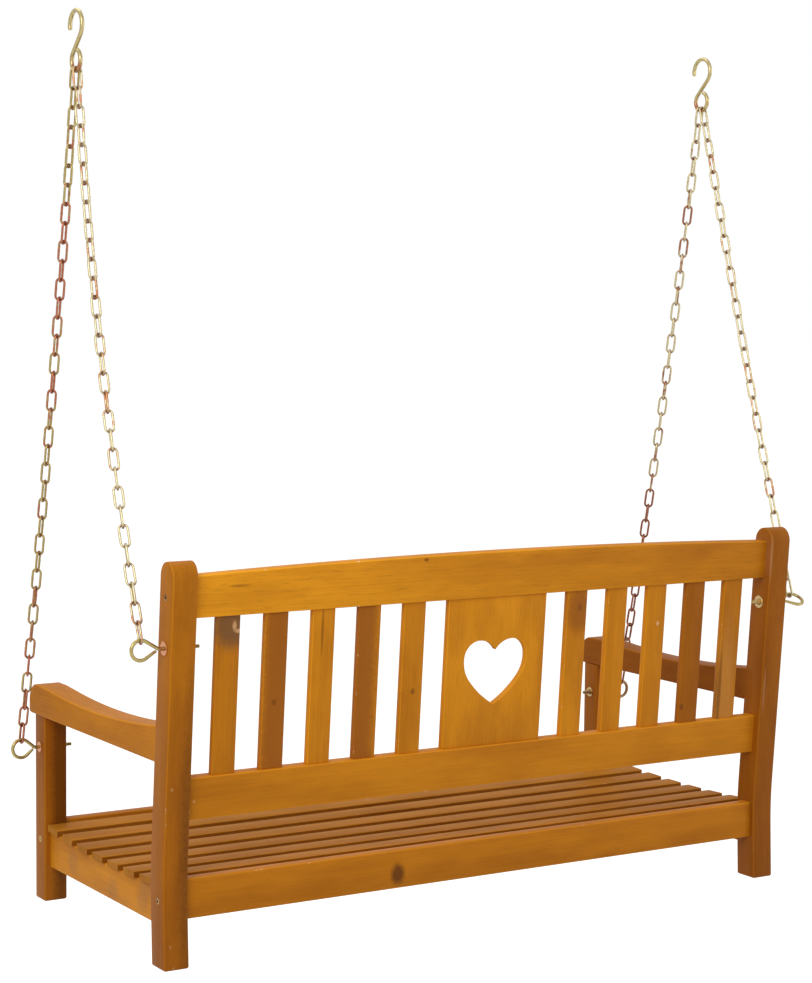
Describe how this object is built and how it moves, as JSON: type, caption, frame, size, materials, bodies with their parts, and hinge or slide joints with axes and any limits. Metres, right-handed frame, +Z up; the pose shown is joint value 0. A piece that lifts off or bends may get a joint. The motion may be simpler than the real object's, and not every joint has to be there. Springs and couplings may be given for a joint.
{
  "type": "porch swing seat",
  "caption": "Slatted hardwood porch swing with a reclined back, heart cut-out panel and armrests, hung on link chains from open S-hooks.",
  "frame": {"origin": "on the level of the feet, under the middle of the swing's plan", "axes": "+X to the sitter's left along the seat, +Y to the back, +Z up along the chains"},
  "size_m": [1.3144, 0.5516, 1.4693],
  "materials": {
    "frame_wood": "satin oil stain",
    "seat_wood": "satin oil stain",
    "back_wood": "satin oil stain",
    "dowel_wood": "bare beech",
    "hook_zinc": "yellow zinc plated",
    "chain_zinc": "yellow zinc plated",
    "fitting_zinc": "yellow zinc plated",
    "washer_copper": "zinc plated, copper tint"
  },
  "bodies": {
    "hooks": {"left_hook": "hook_zinc", "right_hook": "hook_zinc"},
    "seat": {"left_rear_post": "frame_wood", "right_rear_post": "frame_wood", "left_front_post": "frame_wood", "right_front_post": "frame_wood", "left_armrest": "frame_wood", "right_armrest": "frame_wood", "left_side_rail": "frame_wood", "right_side_rail": "frame_wood", "front_seat_rail": "frame_wood", "rear_seat_rail": "frame_wood", "middle_seat_rail": "frame_wood", "top_back_rail": "frame_wood", "bottom_back_rail": "frame_wood", "heart_panel": "back_wood", "seat_slat_1": "seat_wood", "seat_slat_2": "seat_wood", "seat_slat_3": "seat_wood", "seat_slat_4": "seat_wood", "seat_slat_5": "seat_wood", "seat_slat_6": "seat_wood", "seat_slat_7": "seat_wood", "back_slat_1": "back_wood", "back_slat_2": "back_wood", "back_slat_3": "back_wood", "back_slat_4": "back_wood", "back_slat_5": "back_wood", "back_slat_6": "back_wood", "back_slat_7": "back_wood", "back_slat_8": "back_wood", "back_slat_9": "back_wood", "back_slat_10": "back_wood", "dowels": "dowel_wood", "frame_bolts": "fitting_zinc", "cross_nuts": "fitting_zinc", "left_rear_eye_bolt": "fitting_zinc", "right_rear_eye_bolt": "fitting_zinc", "left_front_eye_bolt": "fitting_zinc", "right_front_eye_bolt": "fitting_zinc", "eye_bolt_washers": "washer_copper", "eye_bolt_nuts": "fitting_zinc", "left_top_links": "chain_zinc", "right_top_links": "chain_zinc", "left_front_chain": "chain_zinc", "left_rear_chain": "chain_zinc", "right_front_chain": "chain_zinc", "right_rear_chain": "chain_zinc"}
  },
  "joints": [
    {"name": "swing", "type": "hinge", "parent": "hooks", "child": "seat", "pos_m": [0, -0.02469, 1.38832], "axis": [1, 0, 0], "range_deg": [-25, 25]}
  ]
}
